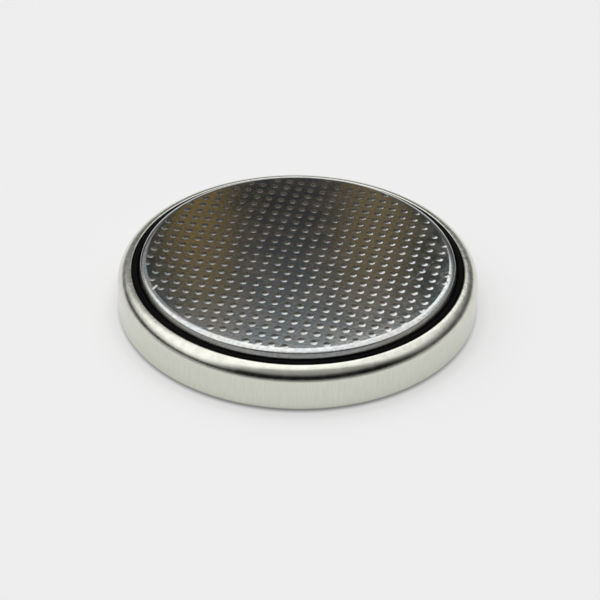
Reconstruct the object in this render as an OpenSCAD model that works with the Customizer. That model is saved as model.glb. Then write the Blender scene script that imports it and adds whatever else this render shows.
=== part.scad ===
// Lithium coin cell, 20 mm across and 3.2 mm tall.
// A steel can is crimped over a plastic gasket that holds a steel cap. The cathode, separator and
// lithium anode lie between the can's floor and the cap. Every piece is turned about Z, and the
// outlines below are points [radius, height]. The origin is the centre of the base.

/* [Cell] */
// Diameter of the can
cell_d = 20; // [19.6:0.1:20.4]
// Height to the top of the middle bump
cell_h = 3.2; // [3.15:0.01:3.3]
// Thickness of the steel sheet of the can and the cap
sheet_t = 0.25; // [0.2:0.01:0.27]

/* [Can] */
// Outer radius of the bend between the base and the wall
base_bend_r = 0.35; // [0.3:0.01:0.5]
// Height of the top of the straight wall, where the crimp starts
wall_top = 1.73; // [1.7:0.01:1.76]
// Outer radius of the crimp's curve
crimp_r = 0.83; // [0.8:0.01:0.85]
// Diameter of the can's mouth, inside the crimped lip
mouth_d = 18.4; // [18.38:0.01:18.44]
// Rounding of the lip's upper edge
lip_edge_r = 0.08; // [0.05:0.01:0.1]

/* [Cap] */
// Diameter of the foot of the cap's side, where the gasket meets it
cap_d = 17.6; // [17.56:0.01:17.64]
// Diameter of the cap's rim, at its outer corner
rim_d = 17.42; // [17.38:0.01:17.46]
// Lean of the cap's side from upright, between the rim and the foot, in degrees
side_lean = 15; // [12:1:18]
// Radius of the sphere that the panel is domed to
dome_r = 180; // [150:5:240]
// Radius of the roll-off at the panel's rim
rim_roll_r = 0.65; // [0.6:0.05:0.8]
// Slope of the panel where the roll-off meets the corner, in degrees
rim_slope = 32; // [30:1:35]
// Outer radius of the cap's corner
cap_corner_r = 0.1; // [0.08:0.01:0.12]
// Height of the flange's upper face, which the crimp presses down
flange_z = 2; // [1.98:0.01:2.02]
// Height of the upper end of the hem that is folded back around the skirt
hem_top = 1.35; // [1.2:0.05:1.45]

/* [Bumps] */
// Distance between neighbouring bumps, along the pattern's rows and across them
bump_pitch = [0.707, 0.719]; // [0.7:0.001:0.8]
// Width of a bump at its foot
bump_w = 0.4; // [0.36:0.01:0.4]
// Height of a bump
bump_h = 0.03; // [0.03:0.005:0.05]
// Turn of the pattern about Z, in degrees
bump_turn = -12.95; // [-45:0.05:45]
// Offset of the pattern's nearest bump from the cell's axis, along X and Y
bump_offset = [-0.25, -0.24]; // [-0.35:0.01:0.35]
// Radius of the circle that the bumps' centres fill
bump_reach = 8.35; // [4:0.05:8.35]

/* [Gasket] */
// Height of the gasket's top edge in the gap between the lip and the cap
gasket_top = 2.57; // [2.5:0.01:2.6]
// Thickness of the gasket's floor, under the skirt
gasket_floor_t = 0.35; // [0.33:0.01:0.36]
// Inner radius of the gasket
gasket_inner_r = 8.35; // [8.3:0.01:8.4]
// Height of the gasket's inner edge
gasket_inner_top = 1.2; // [1:0.05:1.5]

/* [Electrodes] */
// Diameter of the cathode pellet, the collector and the lithium disc
electrode_d = 15.8; // [15:0.1:16.2]
// Thickness of the steel mesh under the pellet
collector_t = 0.08; // [0.05:0.01:0.1]
// Width of the mesh's square openings
mesh_opening = 1.1; // [0.9:0.1:1.2]
// Distance between neighbouring openings
mesh_pitch = 1.5; // [1.4:0.1:2]
// Height of the pellet's upper face
pellet_top = 2.05; // [1.9:0.05:2.1]
// Thickness of the separator
separator_t = 0.12; // [0.05:0.01:0.15]
// Diameter of the separator
separator_d = 16.7; // [16.2:0.1:16.8]

/* [Hidden] */
$fn = 180;
dome_fn = 1440;
arc_steps = 12;
fit_gap = 0.01;

can_r = cell_d / 2;
mouth_r = mouth_d / 2;
can_top = wall_top + crimp_r;
crimp_centre = [can_r - crimp_r, wall_top];
base_bend_centre = [can_r - base_bend_r, base_bend_r];

// Outside, the panel's dome, roll-off, corner and leaning side meet with the same slope.
cap_r = cap_d / 2;
panel_top = cell_h - bump_h;
dome_centre = [0, panel_top - dome_r];
corner_step = rim_roll_r - cap_corner_r;
corner_r_in = rim_d / 2 - cap_corner_r * cos(side_lean);
roll_r_in = corner_r_in - corner_step * sin(rim_slope);
roll_z = dome_centre.y + sqrt(pow(dome_r - rim_roll_r, 2) - pow(roll_r_in, 2));
roll_centre = [roll_r_in, roll_z];
corner_centre = [corner_r_in, roll_z + corner_step * cos(rim_slope)];
dome_edge_a = acos(roll_r_in / (dome_r - rim_roll_r));
dome_edge_r = dome_r * cos(dome_edge_a);
bump_foot = 0.1;

// Inside, the leaning side meets the roll-off in a sharp corner, at this angle about the roll's centre.
inner_corner_reach = corner_step * cos(90 - rim_slope - side_lean) - (sheet_t - cap_corner_r);
inner_corner_a = side_lean + acos(inner_corner_reach / (rim_roll_r - sheet_t));

// The skirt is one sheet thick above the hem, and two sheets thick beside it.
inner_side_r = cap_r - sheet_t;
skirt_r = 9.15;
flange_bend_r = sheet_t;
hem_r = skirt_r + sheet_t - fit_gap;
hem_bottom = sheet_t + gasket_floor_t + fit_gap;
hem_bend_r = (hem_r - skirt_r + sheet_t) / 2;
hem_bend_centre = [hem_r - hem_bend_r, hem_bottom + hem_bend_r];

electrode_r = electrode_d / 2;
pellet_bevel = 0.15;
collector_z = sheet_t;
pellet_z = collector_z + collector_t;
separator_top = pellet_top + separator_t;
mesh_reach = electrode_r - mesh_opening;

// Points of an arc about centre c from angle a to angle b, measured from the +radius direction
function arc(c, r, a, b) = [
    for (i = [0 : arc_steps]) c + r * [cos(a + (b - a) * i / arc_steps), sin(a + (b - a) * i / arc_steps)]
];

// Outline of the can's outside, moved in by a distance. Its top is flat and closed.
function can_outline(inset) = concat(
    [[0, inset]],
    arc(base_bend_centre, base_bend_r - inset, -90, 0),
    arc(crimp_centre, crimp_r - inset, 0, 90),
    [[0, can_top - inset]]
);

// Height of the panel without its bumps, at a distance from the axis
function panel_z(r) = r < dome_edge_r
    ? dome_centre.y + sqrt(dome_r * dome_r - r * r)
    : roll_centre.y + sqrt(rim_roll_r * rim_roll_r - pow(r - roll_centre.x, 2));

// Foot of the leaning side, moved in by a distance
function side_foot(inset) = [
    cap_r - inset,
    corner_centre.y + (cap_corner_r - inset - (cap_r - inset - corner_r_in) * cos(side_lean)) / sin(side_lean)
];

// Outside of the cap's side, corner and roll-off. It is open above the dome.
function cap_outline(bottom) = concat(
    [[0, bottom], [cap_r, bottom], side_foot(0)],
    arc(corner_centre, cap_corner_r, side_lean, 90 - rim_slope),
    arc(roll_centre, rim_roll_r, 90 - rim_slope, dome_edge_a),
    [[dome_edge_r, cell_h], [0, cell_h]]
);

// Inside of the cap's side and roll-off, one sheet thickness in
function cap_inner_outline(bottom) = concat(
    [[0, bottom], [inner_side_r, bottom], side_foot(sheet_t)],
    arc(roll_centre, rim_roll_r - sheet_t, inner_corner_a, dome_edge_a),
    [[dome_edge_r, cell_h], [0, cell_h]]
);

// A solid plug with an outline for its side and the dome for its top
module cap_plug(outline, radius) {
    rotate_extrude() intersection() {
        polygon(outline);
        translate(dome_centre) circle(radius, $fn = dome_fn);
    }
}

// One bump: the cap of a ball, with a wide foot sunk into the panel
module bump() {
    ball_r = (pow(bump_w / 2, 2) + bump_h * bump_h) / (2 * bump_h);
    rotate_extrude($fn = 32) intersection() {
        translate([0, bump_h - ball_r]) circle(ball_r);
        translate([0, -bump_foot]) square([bump_w, bump_foot + bump_h]);
    }
}

// The nearly square pattern of bumps on the panel
module bump_pattern() {
    count = ceil(bump_reach / min(bump_pitch)) + 1;
    for (i = [-count : count], j = [-count : count]) {
        along = i * bump_pitch.x;
        across = j * bump_pitch.y;
        x = bump_offset.x + along * cos(bump_turn) - across * sin(bump_turn);
        y = bump_offset.y + along * sin(bump_turn) + across * cos(bump_turn);
        r = norm([x, y]);
        if (r <= bump_reach) translate([x, y, panel_z(r)]) bump();
    }
}

// The flange, the skirt and its folded hem, below the cap's side
module cap_skirt() {
    rotate_extrude() polygon(concat(
        [[inner_side_r, flange_z - sheet_t], [skirt_r - sheet_t, flange_z - sheet_t]],
        arc(hem_bend_centre, hem_bend_r, 180, 360),
        [[hem_r, hem_top - 0.1], [hem_r - 0.1, hem_top], [skirt_r, hem_top]],
        arc([skirt_r - flange_bend_r, flange_z - flange_bend_r], flange_bend_r, 0, 90),
        [[inner_side_r, flange_z]]
    ));
}

module positive_can() {
    color("#c8ccbf")
    rotate_extrude() difference() {
        polygon(can_outline(0));
        polygon(can_outline(sheet_t));
        // the mouth, with the lip's upper edge rounded
        polygon(concat(
            [[0, can_top + 1], [0, sheet_t], [mouth_r, sheet_t]],
            arc([mouth_r + lip_edge_r, can_top - lip_edge_r], lip_edge_r, 180, 90),
            [[mouth_r + lip_edge_r, can_top + 1]]
        ));
    }
}

module gasket() {
    gap_r = cap_r + fit_gap;
    channel_r = hem_r + fit_gap;
    channel_z = sheet_t + gasket_floor_t;
    inner_wall_r = skirt_r - sheet_t - 2 * fit_gap;
    outer_r = can_r - sheet_t - fit_gap;
    lip_r = mouth_r - fit_gap;
    color("#101210")
    rotate_extrude() polygon(concat(
        [[gasket_inner_r, sheet_t], [outer_r - 0.15, sheet_t], [outer_r, sheet_t + 0.15]],
        arc(crimp_centre, crimp_r - sheet_t - fit_gap, 0, 86),
        [[lip_r, can_top - sheet_t - fit_gap]],
        // the top edge, which shows in the gap as a narrow rounded bead
        arc([(lip_r + gap_r) / 2, gasket_top - (lip_r - gap_r) / 2], (lip_r - gap_r) / 2, 0, 180),
        [[gap_r, flange_z + fit_gap]],
        arc([skirt_r - flange_bend_r, flange_z - flange_bend_r], flange_bend_r + fit_gap, 90, 0),
        [[skirt_r + fit_gap, hem_top + fit_gap], [channel_r, hem_top + fit_gap]],
        arc(hem_bend_centre, hem_bend_r + fit_gap, 0, -90),
        [[inner_wall_r, channel_z], [inner_wall_r, gasket_inner_top]],
        [[gasket_inner_r, gasket_inner_top]]
    ));
}

module negative_cap() {
    color("#8b9296")
    union() {
        difference() {
            cap_plug(cap_outline(flange_z - sheet_t), dome_r);
            cap_plug(cap_inner_outline(0), dome_r - sheet_t);
        }
        cap_skirt();
        bump_pattern();
    }
}

module lithium_anode() {
    top_r = dome_r - sheet_t - fit_gap;
    color("#b9bcc0")
    rotate_extrude() polygon(concat(
        [[0, separator_top], [electrode_r, separator_top]],
        arc(dome_centre, top_r, acos(electrode_r / top_r), 90)
    ));
}

module separator() {
    color("#f4f4f0")
    translate([0, 0, pellet_top]) cylinder(h = separator_t, r = separator_d / 2);
}

module cathode_pellet() {
    color("#2b2b2d")
    rotate_extrude() polygon([
        [0, pellet_z],
        [electrode_r - pellet_bevel, pellet_z],
        [electrode_r, pellet_z + pellet_bevel],
        [electrode_r, pellet_top - pellet_bevel],
        [electrode_r - pellet_bevel, pellet_top],
        [0, pellet_top]
    ]);
}

module cathode_collector() {
    count = ceil(mesh_reach / mesh_pitch);
    color("#9a9c9e")
    translate([0, 0, collector_z]) linear_extrude(collector_t) difference() {
        circle(electrode_r);
        for (i = [-count : count], j = [-count : count])
            if (norm([i, j]) * mesh_pitch <= mesh_reach)
                translate([i, j] * mesh_pitch) square(mesh_opening, center = true);
    }
}

positive_can();
gasket();
negative_cap();
lithium_anode();
separator();
cathode_pellet();
cathode_collector();
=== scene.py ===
# Lithium coin cell, 20 mm across and 3.2 mm tall, lying on a pale table under a soft studio light.
import math

import bpy
import numpy as np
from mathutils import Matrix, Vector


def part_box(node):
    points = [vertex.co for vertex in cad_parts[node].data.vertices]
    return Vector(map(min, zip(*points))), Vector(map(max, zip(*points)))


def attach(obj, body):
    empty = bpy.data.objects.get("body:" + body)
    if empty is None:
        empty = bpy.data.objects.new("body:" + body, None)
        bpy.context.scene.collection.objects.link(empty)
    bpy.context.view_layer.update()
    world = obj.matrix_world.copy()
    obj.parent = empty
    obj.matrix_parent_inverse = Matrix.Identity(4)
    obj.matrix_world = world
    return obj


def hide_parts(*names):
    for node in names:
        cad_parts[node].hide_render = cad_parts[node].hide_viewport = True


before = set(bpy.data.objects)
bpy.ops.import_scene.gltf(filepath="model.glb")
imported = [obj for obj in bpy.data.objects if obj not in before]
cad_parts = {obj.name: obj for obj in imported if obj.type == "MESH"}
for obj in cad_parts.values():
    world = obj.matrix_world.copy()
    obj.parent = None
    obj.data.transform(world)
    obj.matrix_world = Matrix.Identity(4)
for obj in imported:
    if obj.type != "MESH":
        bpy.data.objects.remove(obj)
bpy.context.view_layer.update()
mm = 0.001
print("frame loaded:", ", ".join(sorted(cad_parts)))


# Outlines and surfaces of turning are all in millimetres.

def arc(centre, radius, first, last, count):
    # centre + radius * (cos a, sin a), with the angle a going evenly from first to last, in degrees
    a = np.radians(np.linspace(first, last, count))
    return np.column_stack((centre[0] + radius * np.cos(a), centre[1] + radius * np.sin(a)))


def run(start, end, count=5):
    # straight points between two ends, crowded towards both of them: t = (1 - cos(pi * s)) / 2
    t = (1 - np.cos(np.pi * np.linspace(0, 1, count)))[:, None] / 2
    return np.array(start) + t * (np.array(end) - np.array(start))


def joinOutline(*runs):
    # the runs one after another, without points that fall on their neighbour
    points = np.vstack(runs)
    keep = np.append(True, np.linalg.norm(np.diff(points, axis=0), axis=1) > 1e-5)
    return points[keep]


def turnedSurface(outline, columns):
    # x = r cos a, y = r sin a, z = height for each outline point and each angle a round the axis.
    # An outline whose ends are on the axis closes in two poles, and any other joins its last ring to its first.
    closedAtAxis = outline[0, 0] < 1e-6
    rings = outline[1:-1] if closedAtAxis else outline
    a = np.arange(columns) * 2 * np.pi / columns
    r, z = rings[:, :1], rings[:, 1:]
    points = np.stack((r * np.cos(a), r * np.sin(a), z + 0 * a), axis=-1).reshape(-1, 3)
    ids = np.arange(len(points)).reshape(len(rings), columns)
    rows = ids if closedAtAxis else np.vstack((ids, ids[:1]))
    turnedRows = np.roll(rows, -1, axis=1)
    quads = np.stack((rows[:-1], turnedRows[:-1], turnedRows[1:], rows[1:]), axis=-1).reshape(-1, 4)
    faces = quads.tolist()
    if closedAtAxis:
        low, high = len(points), len(points) + 1
        points = np.vstack((points, [[0, 0, outline[0, 1]], [0, 0, outline[-1, 1]]]))
        first, last = ids[0], ids[-1]
        faces += np.column_stack((np.full(columns, low), np.roll(first, -1), first)).tolist()
        faces += np.column_stack((last, np.roll(last, -1), np.full(columns, high))).tolist()
    return points, faces


def makePiece(name, points, faces, material, node, normals=None):
    # one smooth object, in metres, that stands in for a node; given normals take the place of the computed ones
    mesh = bpy.data.meshes.new(name)
    mesh.from_pydata((np.asarray(points) * mm).tolist(), [], faces)
    mesh.polygons.foreach_set("use_smooth", np.ones(len(mesh.polygons), dtype=bool))
    mesh.materials.append(material)
    mesh.update()
    if normals is not None:
        mesh.normals_split_custom_set_from_vertices(normals.tolist())
    piece = bpy.data.objects.new(name, mesh)
    bpy.context.scene.collection.objects.link(piece)
    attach(piece, "root")
    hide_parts(node)
    return piece


def add(tree, kind, **inputs):
    # one node; a name with a number, such as in0, sets that socket, and any other name sets a property
    node = tree.nodes.new(kind)
    for key, value in inputs.items():
        if key.startswith("in") and key[2:].isdigit():
            plug(tree, value, node.inputs[int(key[2:])])
        else:
            setattr(node, key, value)
    return node


def plug(tree, value, socket):
    # a socket is linked, and anything else is set
    if isinstance(value, bpy.types.NodeSocket):
        tree.links.new(value, socket)
    else:
        socket.default_value = value


def calc(tree, operation, a, b=0.0):
    # one sum: a operation b, or the operation on a alone where it needs only one number
    return add(tree, "ShaderNodeMath", operation=operation, in0=a, in1=b).outputs[0]


def fade(tree, value, low, high, toLow=0.0, toHigh=1.0):
    # smooth step from toLow at low to toHigh at high
    node = add(tree, "ShaderNodeMapRange", interpolation_type="SMOOTHSTEP", in0=value)
    for index, number in enumerate((low, high, toLow, toHigh), 1):
        node.inputs[index].default_value = number
    return node.outputs[0]


def ramp(tree, value, stops):
    # colour by value, eased from one (position, colour) stop to the next
    node = add(tree, "ShaderNodeValToRGB", in0=value)
    node.color_ramp.interpolation = "EASE"
    elements = node.color_ramp.elements
    elements[0].position, elements[1].position = stops[0][0], stops[-1][0]
    elements[0].color, elements[1].color = (*stops[0][1], 1), (*stops[-1][1], 1)
    for position, colour in stops[1:-1]:
        elements.new(position).color = (*colour, 1)
    return node.outputs[0]


def mixColour(tree, amount, first, second):
    # first + amount * (second - first)
    node = tree.nodes.new("ShaderNodeMix")
    node.data_type = "RGBA"
    for value, socket in ((amount, node.inputs[0]), (first, node.inputs[6]), (second, node.inputs[7])):
        plug(tree, value, socket)
    return node.outputs[2]


def millimetres(tree):
    # Object coordinates, counted in millimetres
    where = add(tree, "ShaderNodeTexCoord").outputs["Object"]
    return add(tree, "ShaderNodeVectorMath", operation="SCALE", in0=where, in3=1000.0).outputs[0]


def startGroup(name, inputs, outputs):
    # a new node group, with the sockets that its inputs come from and its outputs go to
    group = bpy.data.node_groups.new(name, "ShaderNodeTree")
    for label, kind, value in inputs:
        socket = group.interface.new_socket(label, in_out="INPUT", socket_type=kind)
        if value is not None:
            socket.default_value = value
    for label, kind in outputs:
        group.interface.new_socket(label, in_out="OUTPUT", socket_type=kind)
    return group, group.nodes.new("NodeGroupInput").outputs, group.nodes.new("NodeGroupOutput").inputs


def useGroup(tree, group, **values):
    # a node group placed in a material, with a value or a socket for each of its named inputs
    node = add(tree, "ShaderNodeGroup", node_tree=group)
    for key, value in values.items():
        plug(tree, value, node.inputs[key])
    return node.outputs


def makeMaterial(name, **sockets):
    # an underscore in a socket's name stands for a space
    material = bpy.data.materials.new(name)
    material.use_nodes = True
    shader = material.node_tree.nodes["Principled BSDF"]
    for key, value in sockets.items():
        shader.inputs[key.replace("_", " ")].default_value = value
    return material, material.node_tree, shader


def reliefTo(tree, shader, height, depth):
    # a Bump node whose depth is in millimetres
    bump = add(tree, "ShaderNodeBump")
    bump.inputs["Strength"].default_value = 1.0
    bump.inputs["Distance"].default_value = depth * mm
    plug(tree, height, bump.inputs["Height"])
    plug(tree, bump.outputs[0], shader.inputs["Normal"])


def makeGrainGroup():
    # fine lines, which are the noise at where * squeeze, so a small squeeze draws them out along that axis,
    # and broad patches, which are a smooth step of the noise at where * patch
    group, given, out = startGroup(
        "fineGrain",
        [
            ("Where", "NodeSocketVector", None),
            ("Squeeze", "NodeSocketVector", (1, 1, 1)),
            ("Patch", "NodeSocketFloat", 1.0),
        ],
        [("Lines", "NodeSocketFloat"), ("Patches", "NodeSocketFloat")],
    )
    drawn = add(
        group, "ShaderNodeVectorMath", operation="MULTIPLY", in0=given["Where"], in1=given["Squeeze"]
    ).outputs[0]
    lines = add(group, "ShaderNodeTexNoise", in0=drawn, in2=1.0, in3=4.0, in4=0.62).outputs[0]
    broad = add(group, "ShaderNodeTexNoise", in0=given["Where"], in2=given["Patch"], in3=3.0, in4=0.55).outputs[0]
    plug(group, lines, out["Lines"])
    plug(group, fade(group, broad, 0.35, 0.65), out["Patches"])
    return group


def makeScratchGroup():
    # a straight mark: 1 within half its width of a line and half its length of its centre, faded at its edges
    group, given, out = startGroup(
        "scratchMark",
        [
            ("Where", "NodeSocketVector", None),
            ("Centre", "NodeSocketVector", (0, 0, 0)),
            ("Turn", "NodeSocketFloat", 0.0),
            ("Length", "NodeSocketFloat", 1.0),
            ("Width", "NodeSocketFloat", 0.05),
        ],
        [("Mark", "NodeSocketFloat")],
    )
    away = add(group, "ShaderNodeVectorMath", operation="SUBTRACT", in0=given["Where"], in1=given["Centre"]).outputs[0]
    turnedBack = calc(group, "MULTIPLY", given["Turn"], -1.0)
    local = add(group, "ShaderNodeVectorRotate", rotation_type="Z_AXIS", in0=away, in3=turnedBack).outputs[0]
    parts = add(group, "ShaderNodeSeparateXYZ", in0=local).outputs
    alongIt = calc(group, "DIVIDE", calc(group, "ABSOLUTE", parts[0]), given["Length"])
    acrossIt = calc(group, "DIVIDE", calc(group, "ABSOLUTE", parts[1]), given["Width"])
    mark = calc(group, "MULTIPLY", fade(group, alongIt, 0.3, 0.5, 1, 0), fade(group, acrossIt, 0.15, 0.5, 1, 0))
    plug(group, mark, out["Mark"])
    return group


grainGroup = makeGrainGroup()
scratchGroup = makeScratchGroup()


# The steel can: sizes in millimetres, then its colours and roughness
can = {
    "sheet": 0.25,
    "baseBend": 0.35,
    "wallTop": 1.73,
    "crimp": 0.83,
    "mouthRadius": 9.2,
    "lipEdge": 0.08,
    "columns": 480,
    "colour": (0.69, 0.70, 0.615),
    "scuffed": (0.76, 0.75, 0.69),
    "roughness": 0.15,
    "relief": 0.004,
}


def canMaterial():
    # drawn steel: fine upright lines on the wall, and a rubbed, rougher crimp
    material, tree, shader = makeMaterial("can_steel", Metallic=1.0, Roughness=can["roughness"])
    where = millimetres(tree)
    grain = useGroup(tree, grainGroup, Where=where, Squeeze=(16, 16, 1.2), Patch=0.9)
    wear = useGroup(tree, grainGroup, Where=where, Squeeze=(5, 5, 9), Patch=1.6)
    parts = add(tree, "ShaderNodeSeparateXYZ", in0=where).outputs
    height, side = parts[2], calc(tree, "ABSOLUTE", parts[0])
    onCrimp = fade(tree, height, 1.6, 2.3)
    rubbed = calc(tree, "MULTIPLY", onCrimp, wear["Patches"])
    lines = fade(tree, grain["Lines"], 0.3, 0.7)
    plain = mixColour(tree, lines, tuple(0.93 * c for c in can["colour"]) + (1,), can["colour"] + (1,))
    plug(tree, mixColour(tree, rubbed, plain, can["scuffed"] + (1,)), shader.inputs["Base Color"])
    rough = fade(tree, lines, 0, 1, can["roughness"] - 0.03, can["roughness"] + 0.03)
    plug(tree, calc(tree, "ADD", rough, calc(tree, "MULTIPLY", rubbed, 0.05)), shader.inputs["Roughness"])
    # the lip is scuffed, and most at its left and right
    scuffed = calc(tree, "MULTIPLY", fade(tree, height, 2.2, 2.5), fade(tree, side, 5.5, 8.5, 0.5, 5.0))
    relief = calc(tree, "ADD", grain["Lines"], calc(tree, "MULTIPLY", scuffed, wear["Lines"]))
    reliefTo(tree, shader, relief, can["relief"])
    return material


def makeCan():
    # one closed outline, from the base's underside round the wall and the lip and back inside, turned about Z
    radius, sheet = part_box("positive_can")[1].x / mm, can["sheet"]
    bendCentre = (radius - can["baseBend"], can["baseBend"])
    crimpCentre = (radius - can["crimp"], can["wallTop"])
    mouth, edge = can["mouthRadius"], can["lipEdge"]
    # the lip's edge is an arc that touches the crimp's curve and the mouth:
    # its height over the crimp's centre is sqrt((crimp - edge)^2 - (mouth + edge - centre)^2)
    edgeZ = crimpCentre[1] + math.sqrt((can["crimp"] - edge) ** 2 - (mouth + edge - crimpCentre[0]) ** 2)
    edgeAngle = math.degrees(math.atan2(edgeZ - crimpCentre[1], mouth + edge - crimpCentre[0]))
    innerAngle = math.degrees(math.acos((mouth - crimpCentre[0]) / (can["crimp"] - sheet)))
    outline = joinOutline(
        run((0, 0), (radius - can["baseBend"], 0), 9),
        arc(bendCentre, can["baseBend"], -90, 0, 11),
        run((radius, can["baseBend"]), (radius, can["wallTop"]), 9),
        arc(crimpCentre, can["crimp"], 0, edgeAngle, 28),
        arc((mouth + edge, edgeZ), edge, edgeAngle, 180, 9),
        arc(crimpCentre, can["crimp"] - sheet, innerAngle, 0, 14),
        run((radius - sheet, can["wallTop"]), (radius - sheet, can["baseBend"]), 6),
        arc(bendCentre, can["baseBend"] - sheet, 0, -90, 5),
        run((radius - can["baseBend"], sheet), (0, sheet), 7),
    )
    points, faces = turnedSurface(outline, can["columns"])
    return makePiece("steel_can", points, faces, canMaterial(), "positive_can")


makeCan()
print("steel can made")


# The sealing gasket: sizes in millimetres, then its finish
gasket = {
    "sheet": 0.25,
    "floor": 0.35,
    "innerRadius": 8.35,
    "innerTop": 1.2,
    "gap": 0.01,
    "capRadius": 8.8,
    "skirtRadius": 9.15,
    "flange": 2.0,
    "hemTop": 1.35,
    "columns": 360,
    "colour": (0.0015, 0.0015, 0.002),
    "dusty": (0.004, 0.004, 0.0035),
    "sheen": 0.04,
    "roughness": 0.45,
}


def gasketMaterial():
    # moulded black plastic with a slightly uneven gloss
    material, tree, shader = makeMaterial("gasket_plastic", Roughness=gasket["roughness"])
    where = millimetres(tree)
    grain = useGroup(tree, grainGroup, Where=where, Squeeze=(6, 6, 6), Patch=1.3)
    colour = mixColour(tree, grain["Patches"], gasket["colour"] + (1,), gasket["dusty"] + (1,))
    plug(tree, colour, shader.inputs["Base Color"])
    rough = fade(tree, grain["Patches"], 0, 1, gasket["roughness"] - 0.06, gasket["roughness"] + 0.06)
    plug(tree, rough, shader.inputs["Roughness"])
    shader.inputs["Specular IOR Level"].default_value = gasket["sheen"]
    reliefTo(tree, shader, grain["Lines"], 0.006)
    return material


def makeGasket():
    # the outline follows the can's inside and the cap's outside, a gap away from each, and is turned about Z
    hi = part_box("gasket")[1] / mm
    gap, sheet = gasket["gap"], gasket["sheet"]
    outer = hi.x
    crimpCentre = (outer + sheet + gap - can["crimp"], can["wallTop"])
    lip = can["mouthRadius"] - gap
    inside = gasket["capRadius"] + gap
    bead = (lip - inside) / 2
    hem = gasket["skirtRadius"] + sheet
    bendRadius = (hem - gap - gasket["skirtRadius"] + sheet) / 2
    bendCentre = (hem - gap - bendRadius, sheet + gasket["floor"] + gap + bendRadius)
    flangeCentre = (gasket["skirtRadius"] - sheet, gasket["flange"] - sheet)
    innerWall = gasket["skirtRadius"] - sheet - 2 * gap
    innermost = gasket["innerRadius"]
    outline = joinOutline(
        run((innermost, sheet), (outer - 0.15, sheet)),
        run((outer, sheet + 0.15), (outer, can["wallTop"])),
        arc(crimpCentre, can["crimp"] - sheet - gap, 0, 86, 14),
        run((lip, can["crimp"] + can["wallTop"] - sheet - gap), (lip, hi.z - bead)),
        arc((inside + bead, hi.z - bead), bead, 0, 180, 15),
        run((inside, hi.z - bead), (inside, gasket["flange"] + gap)),
        arc(flangeCentre, sheet + gap, 90, 0, 7),
        run((gasket["skirtRadius"] + gap, gasket["hemTop"] + gap), (hem, gasket["hemTop"] + gap), 3),
        arc(bendCentre, bendRadius + gap, 0, -90, 9),
        run((innerWall, sheet + gasket["floor"]), (innerWall, gasket["innerTop"])),
        run((innermost, gasket["innerTop"]), (innermost, sheet + 0.02)),
    )
    points, faces = turnedSurface(outline, gasket["columns"])
    return makePiece("sealing_gasket", points, faces, gasketMaterial(), "gasket")


makeGasket()
print("sealing gasket made")


# The steel cap and the pattern of bumps on it: sizes in millimetres, angles in degrees.
# A mark is its centre, its turn about Z, its length and its width.
cap = {
    "sheet": 0.25,
    "domeRadius": 180.0,
    "rollRadius": 0.65,
    "rollSlope": 32.0,
    "cornerRadius": 0.1,
    "rimRadius": 8.71,
    "sideLean": 15.0,
    "sideRadius": 8.8,
    "flange": 2.0,
    "skirtRadius": 9.15,
    "hemTop": 1.35,
    "columns": 512,
    "cool": (0.63, 0.67, 0.68),
    "warm": (0.70, 0.675, 0.64),
    "specks": (0.50, 0.52, 0.52),
    "worn": (0.96, 0.96, 0.93),
    # painted shade on the side below the rim
    "sideShadeColour": (0.36, 0.355, 0.33),
    "roughness": 0.09,
    "relief": 0.0035,
    "haze": 0.5,
    "scratch": ((6.86, -1.06, 0), 56.0, 2.9, 0.030),
    "nick": ((-7.76, -2.96, 0), 60.0, 0.56, 0.22),
}
bumps = {
    "pitch": (0.707, 0.719),
    "width": 0.40,
    "height": 0.014,
    "turn": -12.95,
    "offset": (-0.25, -0.24),
    "reach": 8.35,
    "spokes": 14,
}


def capMaterial():
    # bright rolled steel: a fine mottle, a few thin scratches, and one nick at the rim
    material, tree, shader = makeMaterial(
        "cap_steel", Metallic=1.0, Roughness=cap["roughness"],
        Coat_Weight=cap["haze"], Coat_Roughness=0.45, Coat_IOR=1.5,
    )
    where = millimetres(tree)
    grain = useGroup(tree, grainGroup, Where=where, Squeeze=(4.5, 5.5, 4.5), Patch=0.8)
    scratch, nick = (
        useGroup(
            tree, scratchGroup, Where=where, Centre=place, Turn=math.radians(turn), Length=length, Width=width
        )["Mark"]
        for place, turn, length, width in (cap["scratch"], cap["nick"])
    )
    mottle = fade(tree, grain["Lines"], 0.3, 0.7)
    broken = calc(tree, "MULTIPLY", scratch, fade(tree, mottle, 0.2, 0.6, 0.1, 0.7))
    worn = calc(tree, "MAXIMUM", broken, nick)
    tinted = mixColour(tree, grain["Patches"], cap["cool"] + (1,), cap["warm"] + (1,))
    steel = mixColour(tree, mottle, cap["specks"] + (1,), tinted)
    # the side, below the rim, is rougher, and painted shade darkens its colour, most at its left and right
    parts = add(tree, "ShaderNodeSeparateXYZ", in0=where).outputs
    shadeTowardsSides = fade(tree, calc(tree, "ABSOLUTE", parts[0]), 1.0, 6.0, 0.2, 1.0)
    side = calc(tree, "MULTIPLY", fade(tree, parts[2], 2.90, 2.82), shadeTowardsSides)
    steel = mixColour(tree, side, steel, cap["sideShadeColour"] + (1,))
    plug(tree, mixColour(tree, worn, steel, cap["worn"] + (1,)), shader.inputs["Base Color"])
    rough = fade(tree, grain["Patches"], 0, 1, cap["roughness"] - 0.03, cap["roughness"] + 0.03)
    rough = calc(tree, "ADD", rough, calc(tree, "MULTIPLY", side, 0.2))
    plug(tree, calc(tree, "ADD", rough, calc(tree, "MULTIPLY", worn, 0.4)), shader.inputs["Roughness"])
    reliefTo(tree, shader, grain["Lines"], cap["relief"])
    return material


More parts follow.
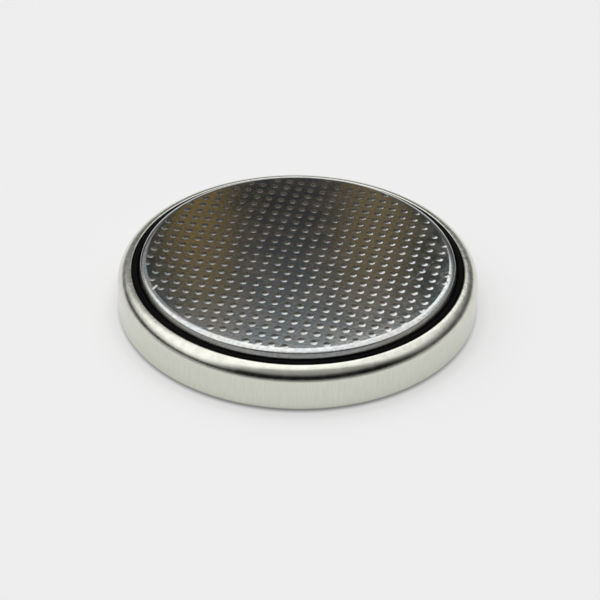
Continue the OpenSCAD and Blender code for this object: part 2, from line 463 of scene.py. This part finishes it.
def makeCap():
    # one closed outline, under the dome and round the hem and back over the rim, turned about Z, and the bumps
    lo, hi = (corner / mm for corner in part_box("negative_cap"))
    sheet, slope = cap["sheet"], cap["rollSlope"]
    panelTop = hi.z - bumps["height"]
    domeZ = panelTop - cap["domeRadius"]
    corner, lean = cap["cornerRadius"], math.radians(cap["sideLean"])
    cornerR = cap["rimRadius"] - corner * math.cos(lean)
    step = cap["rollRadius"] - corner
    rollR = cornerR - step * math.sin(math.radians(slope))
    rollZ = domeZ + math.sqrt((cap["domeRadius"] - cap["rollRadius"]) ** 2 - rollR ** 2)
    cornerCentre = (cornerR, rollZ + step * math.cos(math.radians(slope)))
    rollCentre = (rollR, rollZ)
    domeEdge = math.degrees(math.acos(rollR / (cap["domeRadius"] - cap["rollRadius"])))
    side, skirt = cap["sideRadius"], cap["skirtRadius"]
    hem = hi.x
    bendRadius = (hem - skirt + sheet) / 2
    bendCentre = (hem - bendRadius, lo.z + bendRadius)
    flangeCentre = (skirt - sheet, cap["flange"] - sheet)

    def sideFoot(inset):
        # where the leaning side, moved in by a distance, meets the upright part under it
        r = side - inset
        return (r, cornerCentre[1] + (corner - inset - (r - cornerR) * math.cos(lean)) / math.sin(lean))

    # inside, the leaning side meets the roll-off in a sharp corner at this angle
    reach = step * math.cos(math.radians(90 - slope) - lean) - (sheet - corner)
    innerAngle = cap["sideLean"] + math.degrees(math.acos(reach / (cap["rollRadius"] - sheet)))
    innerCorner = arc(rollCentre, cap["rollRadius"] - sheet, innerAngle, innerAngle, 1)[0]

    def panel(inset, count):
        # height of the dome, a circle about the point (0, domeZ), at evenly spaced distances from the axis
        r = np.linspace(0, 1, count) * (cap["domeRadius"] - inset) * math.cos(math.radians(domeEdge))
        return np.column_stack((r, domeZ + np.sqrt((cap["domeRadius"] - inset) ** 2 - r ** 2)))

    outline = joinOutline(
        panel(sheet, 8),
        arc(rollCentre, cap["rollRadius"] - sheet, domeEdge, innerAngle, 7),
        run(innerCorner, sideFoot(sheet), 4),
        run(sideFoot(sheet), (side - sheet, cap["flange"] - sheet), 4),
        run((side - sheet, cap["flange"] - sheet), (skirt - sheet, cap["flange"] - sheet), 3),
        arc(bendCentre, bendRadius, 180, 360, 13),
        run((hem, bendCentre[1]), (hem, cap["hemTop"] - 0.1), 3),
        run((hem - 0.1, cap["hemTop"]), (skirt, cap["hemTop"]), 3),
        arc(flangeCentre, sheet, 0, 90, 6),
        run((skirt - sheet, cap["flange"]), (side, cap["flange"]), 3),
        run((side, cap["flange"]), sideFoot(0), 4),
        run(sideFoot(0), cornerCentre + corner * np.array([math.cos(lean), math.sin(lean)]), 5),
        arc(cornerCentre, corner, cap["sideLean"], 90 - slope, 9),
        arc(rollCentre, cap["rollRadius"], 90 - slope, domeEdge, 14),
        panel(0, 14)[::-1],
    )
    points, faces = turnedSurface(outline, cap["columns"])

    # bump centres: a nearly square grid turned about Z, kept inside a circle
    steps = np.arange(-14, 15)
    along, across = (g.ravel() for g in np.meshgrid(steps * bumps["pitch"][0], steps * bumps["pitch"][1]))
    turn = math.radians(bumps["turn"])
    centreX = bumps["offset"][0] + along * math.cos(turn) - across * math.sin(turn)
    centreY = bumps["offset"][1] + along * math.sin(turn) + across * math.cos(turn)
    inside = np.hypot(centreX, centreY) <= bumps["reach"]
    centreX, centreY = centreX[inside], centreY[inside]

    # a bump: three rings on the cap of a ball, a soft foot, and a last ring sunk in the panel.
    # The ball's radius is (half^2 + height^2) / (2 * height), and its slope at r is r / sqrt(ball^2 - r^2).
    half, spokes = bumps["width"] / 2, bumps["spokes"]
    ball = (half ** 2 + bumps["height"] ** 2) / (2 * bumps["height"])
    ringR = np.array([0.36, 0.68, 0.92, 1.14, 1.14]) * half
    ringH = np.sqrt(np.maximum(ball ** 2 - ringR ** 2, 0)) + bumps["height"] - ball
    ringH[3:] = (-0.001, -0.06)
    ringSlope = ringR / np.sqrt(ball ** 2 - ringR ** 2) * np.array([1, 1, 0.9, 0.1, 0.1])
    a = np.arange(spokes) * 2 * np.pi / spokes
    localX = np.append((ringR[:, None] * np.cos(a)).ravel(), 0)
    localY = np.append((ringR[:, None] * np.sin(a)).ravel(), 0)
    localH = np.append(np.repeat(ringH, spokes), bumps["height"])
    leanX = np.append((ringSlope[:, None] * np.cos(a)).ravel(), 0)
    leanY = np.append((ringSlope[:, None] * np.sin(a)).ravel(), 0)
    x, y = centreX[:, None] + localX, centreY[:, None] + localY
    r = np.hypot(x, y)
    domeR = cap["domeRadius"] * math.cos(math.radians(domeEdge))
    pastRoll = np.maximum(r - rollR, 0)
    onRoll = np.sqrt(cap["rollRadius"] ** 2 - pastRoll ** 2)
    # a bump stands on the dome, and past the dome's edge on the roll-off
    z = np.where(r < domeR, domeZ + np.sqrt(cap["domeRadius"] ** 2 - r ** 2), rollZ + onRoll) + localH
    bumpPoints = np.stack((x, y, z), axis=-1).reshape(-1, 3)
    fall = np.where(r < domeR, r / cap["domeRadius"], pastRoll / onRoll) / r
    tilt = np.stack((leanX + fall * x, leanY + fall * y, 1 + 0 * x), axis=-1).reshape(-1, 3)
    each = 5 * spokes + 1
    ids = np.arange(5 * spokes).reshape(5, spokes)
    ahead = np.roll(ids, -1, axis=1)
    quads = np.stack((ids[1:], ahead[1:], ahead[:-1], ids[:-1]), axis=-1).reshape(-1, 4)
    tops = np.column_stack((ids[0], ahead[0], np.full(spokes, 5 * spokes)))
    starts = len(points) + np.arange(len(centreX)) * each
    bumpFaces = (starts[:, None, None] + quads).reshape(-1, 4).tolist()
    bumpFaces += (starts[:, None, None] + tops).reshape(-1, 3).tolist()
    bumpFaces += (starts[:, None] + ids[-1][::-1]).tolist()

    # the shell keeps its computed normals, and the bumps get those of their ball
    shell = bpy.data.meshes.new("shellForNormals")
    shell.from_pydata(points.tolist(), [], faces)
    shellNormals = np.empty(len(points) * 3)
    shell.vertex_normals.foreach_get("vector", shellNormals)
    bpy.data.meshes.remove(shell)
    normals = np.vstack((shellNormals.reshape(-1, 3), tilt / np.linalg.norm(tilt, axis=1)[:, None]))
    allPoints = np.vstack((points, bumpPoints))
    print("cap has", len(centreX), "bumps")
    return makePiece("steel_cap", allPoints, faces + bumpFaces, capMaterial(), "negative_cap", normals)


makeCap()
print("steel cap made")


# What is inside keeps its shape and gets its finish. These are the base colours.
inner = {
    "lithium": (0.62, 0.63, 0.64),
    "felt": (0.86, 0.86, 0.83),
    "cathode": (0.022, 0.022, 0.024),
    "mesh": (0.52, 0.52, 0.51),
}


def lithiumMaterial():
    # soft pressed metal, dull in patches
    material, tree, shader = makeMaterial("lithium_metal", Metallic=1.0, Roughness=0.42)
    grain = useGroup(tree, grainGroup, Where=millimetres(tree), Squeeze=(1.2, 7, 3), Patch=0.6)
    dull = tuple(0.6 * c for c in inner["lithium"])
    plug(tree, mixColour(tree, grain["Patches"], inner["lithium"] + (1,), dull + (1,)), shader.inputs["Base Color"])
    plug(tree, fade(tree, grain["Patches"], 0, 1, 0.36, 0.56), shader.inputs["Roughness"])
    reliefTo(tree, shader, grain["Lines"], 0.02)
    return material


def feltMaterial():
    # white fibres that lie both ways, with faint see-through patches
    material, tree, shader = makeMaterial("separator_felt", Roughness=0.92)
    where = millimetres(tree)
    oneWay = useGroup(tree, grainGroup, Where=where, Squeeze=(2, 16, 8), Patch=1.1)
    otherWay = useGroup(tree, grainGroup, Where=where, Squeeze=(16, 2, 8), Patch=2.3)
    fibres = calc(tree, "MAXIMUM", oneWay["Lines"], otherWay["Lines"])
    shade = tuple(0.84 * c for c in inner["felt"])
    colour = mixColour(tree, fade(tree, fibres, 0.45, 0.7), shade + (1,), inner["felt"] + (1,))
    plug(tree, colour, shader.inputs["Base Color"])
    reliefTo(tree, shader, fibres, 0.03)
    return material


def cathodeMaterial():
    # pressed dark powder with coarse grains
    material, tree, shader = makeMaterial("cathode_mix", Roughness=0.85)
    where = millimetres(tree)
    grains = add(tree, "ShaderNodeTexVoronoi", in0=where, in2=9.0).outputs["Distance"]
    cloud = useGroup(tree, grainGroup, Where=where, Squeeze=(7, 7, 7), Patch=1.0)
    light = tuple(2.2 * c for c in inner["cathode"])
    plug(tree, mixColour(tree, cloud["Patches"], inner["cathode"] + (1,), light + (1,)), shader.inputs["Base Color"])
    plug(tree, fade(tree, cloud["Lines"], 0.3, 0.7, 0.7, 0.95), shader.inputs["Roughness"])
    reliefTo(tree, shader, calc(tree, "ADD", grains, cloud["Lines"]), 0.03)
    return material


def collectorMaterial():
    # thin steel mesh with a rolled grain
    material, tree, shader = makeMaterial("collector_mesh", Metallic=1.0, Roughness=0.34)
    grain = useGroup(tree, grainGroup, Where=millimetres(tree), Squeeze=(2, 20, 6), Patch=1.4)
    dark = tuple(0.75 * c for c in inner["mesh"])
    plug(tree, mixColour(tree, grain["Patches"], dark + (1,), inner["mesh"] + (1,)), shader.inputs["Base Color"])
    plug(tree, fade(tree, grain["Lines"], 0.3, 0.7, 0.28, 0.42), shader.inputs["Roughness"])
    reliefTo(tree, shader, grain["Lines"], 0.006)
    return material


for node, material in (
    ("lithium_anode", lithiumMaterial()),
    ("separator", feltMaterial()),
    ("cathode_pellet", cathodeMaterial()),
    ("cathode_collector", collectorMaterial()),
):
    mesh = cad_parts[node].data
    mesh.materials.clear()
    mesh.materials.append(material)
print("inner pieces finished")


# The table, the backdrop and the camera: sizes and distances in metres, the lens in millimetres, angles in degrees
studio = {
    "tableSize": 6.0,
    "tableColour": (0.45, 0.45, 0.45),
    "tableGlow": 0.55,
    # painted shade: how bright the table stays, seen in the metal, far from the cell on the near side
    "mirroredTable": 0.36,
    "backdrop": 0.871,
    "lens": 147.1,
    "elevation": 35.05,
    "distance": 0.1373,
    "roll": 0.80,
    "shift": (2.6 / 600, 3.1 / 600),
}


def makeTable():
    # a square sheet just under the cell
    size = studio["tableSize"] / 2
    mesh = bpy.data.meshes.new("table")
    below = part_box("positive_can")[0].z - 0.01 * mm
    corners = [(-size, -size, below), (size, -size, below), (size, size, below), (-size, size, below)]
    mesh.from_pydata(corners, [], [(0, 1, 2, 3)])
    table = bpy.data.objects.new("table", mesh)
    bpy.context.scene.collection.objects.link(table)
    # the lit paper glows a little, and a painted contact shadow darkens its glow and colour in the narrow gap round
    # the cell's foot;
    # seen in the metal, a painted shade darkens it towards the dark room on the near side
    material, tree, shader = makeMaterial("pale_table", Roughness=1.0)
    shader.inputs["Specular IOR Level"].default_value = 0.0
    shader.inputs["Emission Color"].default_value = (1, 1, 1, 1)
    where = millimetres(tree)
    flat = add(tree, "ShaderNodeVectorMath", operation="MULTIPLY", in0=where, in1=(1, 1, 0)).outputs[0]
    distance = add(tree, "ShaderNodeVectorMath", operation="LENGTH", in0=flat).outputs["Value"]
    parts = add(tree, "ShaderNodeSeparateXYZ", in0=where).outputs
    # painted contact shadow: darkest in the gap round the cell's foot, and faint a little farther out
    paintedGapShadow, paintedNearShadow = fade(tree, distance, 9.7, 10.15, 0.3, 1.0), fade(tree, distance, 10.1, 10.9, 0.93, 1.0)
    clear = calc(tree, "MULTIPLY", paintedGapShadow, paintedNearShadow)
    # painted shade seen only in reflections: for glossy rays the table darkens away from the cell towards the near
    # side
    away = calc(tree, "MULTIPLY", fade(tree, distance, 13.0, 40.0), fade(tree, parts[1], 4.0, -16.0))
    mirrored = calc(tree, "MULTIPLY", away, add(tree, "ShaderNodeLightPath").outputs["Is Glossy Ray"])
    # the glow and the colour both carry the painted contact shadow and the painted shade seen in the metal
    level = calc(tree, "MULTIPLY", clear, fade(tree, mirrored, 0.0, 1.0, 1.0, studio["mirroredTable"]))
    plug(tree, calc(tree, "MULTIPLY", level, studio["tableGlow"]), shader.inputs["Emission Strength"])
    plug(tree, mixColour(tree, level, (0, 0, 0, 1), studio["tableColour"] + (1,)), shader.inputs["Base Color"])
    mesh.materials.append(material)


# The studio light, by direction. Turn is in degrees from straight behind the cell, positive to the right, and up is
# the share of the way from the horizon to overhead.
coolTint = (0.94, 1.0, 1.03)
light = {
    # a column's stops: up, brightness, and a tint where there is one
    "far": [
        (0.00, 0.66), (0.08, 0.30), (0.14, 0.12, coolTint), (0.21, 0.10), (0.27, 0.045), (0.32, 0.018),
        (0.36, 0.035, coolTint), (0.39, 0.07, coolTint), (0.43, 0.14, coolTint), (0.455, 0.30, coolTint),
        (0.48, 0.42), (0.51, 0.65), (0.55, 1.20), (0.60, 1.50), (1.00, 1.35),
    ],
    "left": [
        (0.00, 0.70), (0.06, 0.34), (0.10, 0.02), (0.17, 0.03), (0.22, 0.40), (0.33, 1.0), (0.46, 1.3), (1.00, 1.3),
    ],
    "right": [
        (0.00, 0.60), (0.06, 0.30), (0.10, 0.06), (0.18, 0.08), (0.30, 0.30), (0.42, 0.55), (0.54, 1.05), (1.00, 1.3),
    ],
    "near": [
        (0.00, 0.35), (0.05, 0.22), (0.10, 0.01), (0.30, 0.005), (0.40, 0.06), (0.50, 0.24), (0.62, 0.36),
        (0.76, 0.42), (0.90, 0.60), (1.00, 1.3),
    ],
    # turns between which the left, right and near columns come in
    "leftFrom": (-10.0, -30.0),
    "rightFrom": (10.0, 30.0),
    "nearFrom": ((88.0, 125.0), (-112.0, -145.0)),
    # walls: the turns where each starts, is full, starts to end and is gone, its foot, and its brightness
    "walls": (
        (-9.5, -16.0, -30.0, -44.0, 0.20, 0.35),
        (8.6, 12.0, 28.0, 40.0, 0.30, 1.4),
        (1.0, 6.0, 28.0, 40.0, 0.44, 1.4),
    ),
    # far things, two dim and warm and two dark: turn, width and colour
    "things": (
        (-8.1, 1.1, (0.02, 0.026, 0.02)),
        (-5.0, 1.4, (0.205, 0.138, 0.045)),
        (3.9, 1.6, (0.185, 0.135, 0.065)),
        (7.3, 1.2, (0.025, 0.03, 0.025)),
    ),
}


def column(tree, up, stops):
    # the colour at each stop is brightness * tint
    plainTint = (1, 1, 1)
    return ramp(tree, up, [(at, [level * t for t in (tint or [plainTint])[0]]) for at, level, *tint in stops])


def product(tree, *factors):
    # the factors multiplied together, from the first on
    total = factors[0]
    for factor in factors[1:]:
        total = calc(tree, "MULTIPLY", total, factor)
    return total


def makeStudioLight():
    # four columns, far, left, right and near, blended round the circle, then the walls and the far things over them.
    # The near column is the dark room behind the viewer.
    world = bpy.data.worlds.new("studio")
    bpy.context.scene.world = world
    world.use_nodes = True
    tree = world.node_tree
    tree.nodes.clear()
    direction = add(tree, "ShaderNodeTexCoord").outputs["Generated"]
    parts = add(tree, "ShaderNodeSeparateXYZ", in0=direction).outputs
    up = calc(tree, "MULTIPLY", calc(tree, "ARCSINE", parts[2]), 2 / math.pi)
    turn = calc(tree, "MULTIPLY", calc(tree, "ARCTAN2", parts[0], parts[1]), 180 / math.pi)
    far, left, right, near = (column(tree, up, light[side]) for side in ("far", "left", "right", "near"))
    glow = mixColour(tree, fade(tree, turn, *light["leftFrom"]), far, left)
    glow = mixColour(tree, fade(tree, turn, *light["rightFrom"]), glow, right)
    behind = calc(tree, "MAXIMUM", *(fade(tree, turn, *ends) for ends in light["nearFrom"]))
    glow = mixColour(tree, behind, glow, near)
    for start, full, end, gone, foot, level in light["walls"]:
        span = product(tree, fade(tree, turn, start, full), fade(tree, turn, gone, end))
        there = product(tree, span, fade(tree, up, foot, foot + 0.07), fade(tree, up, 0.60, 0.50))
        glow = mixColour(tree, there, glow, (level, level, level, 1))
    window = product(tree, fade(tree, up, 0.25, 0.29), fade(tree, up, 0.48, 0.36))
    for place, width, colour in light["things"]:
        offCentre = calc(tree, "ABSOLUTE", calc(tree, "SUBTRACT", turn, place))
        there = product(tree, window, fade(tree, offCentre, width * 1.5, width * 0.6))
        glow = mixColour(tree, there, glow, colour + (1,))
    # the camera sees a plain pale backdrop in place of the light
    shown = add(tree, "ShaderNodeBackground", in0=(1, 1, 1, 1), in1=studio["backdrop"]).outputs[0]
    lighting = add(tree, "ShaderNodeBackground", in0=glow, in1=1.0).outputs[0]
    seen = add(tree, "ShaderNodeLightPath").outputs["Is Camera Ray"]
    both = add(tree, "ShaderNodeMixShader", in0=seen, in1=lighting, in2=shown).outputs[0]
    add(tree, "ShaderNodeOutputWorld", in0=both)


def makeCamera():
    # the camera stands back from the base's centre along the line of sight, rolled slightly anticlockwise
    camera = bpy.data.objects.new("camera", bpy.data.cameras.new("camera"))
    bpy.context.scene.collection.objects.link(camera)
    slope = math.radians(studio["elevation"])
    back = Vector((0, -math.cos(slope), math.sin(slope)))
    place = Matrix.Translation(back * studio["distance"])
    aim = back.to_track_quat("Z", "Y").to_matrix().to_4x4()
    camera.matrix_world = place @ aim @ Matrix.Rotation(math.radians(studio["roll"]), 4, "Z")
    camera.data.lens = studio["lens"]
    camera.data.sensor_width = 36.0
    camera.data.shift_x, camera.data.shift_y = studio["shift"]
    camera.data.clip_start, camera.data.clip_end = 0.005, 20.0
    bpy.context.scene.camera = camera


makeTable()
makeStudioLight()
makeCamera()
bpy.context.scene.view_settings.view_transform = "Standard"
print("table, light and camera ready")
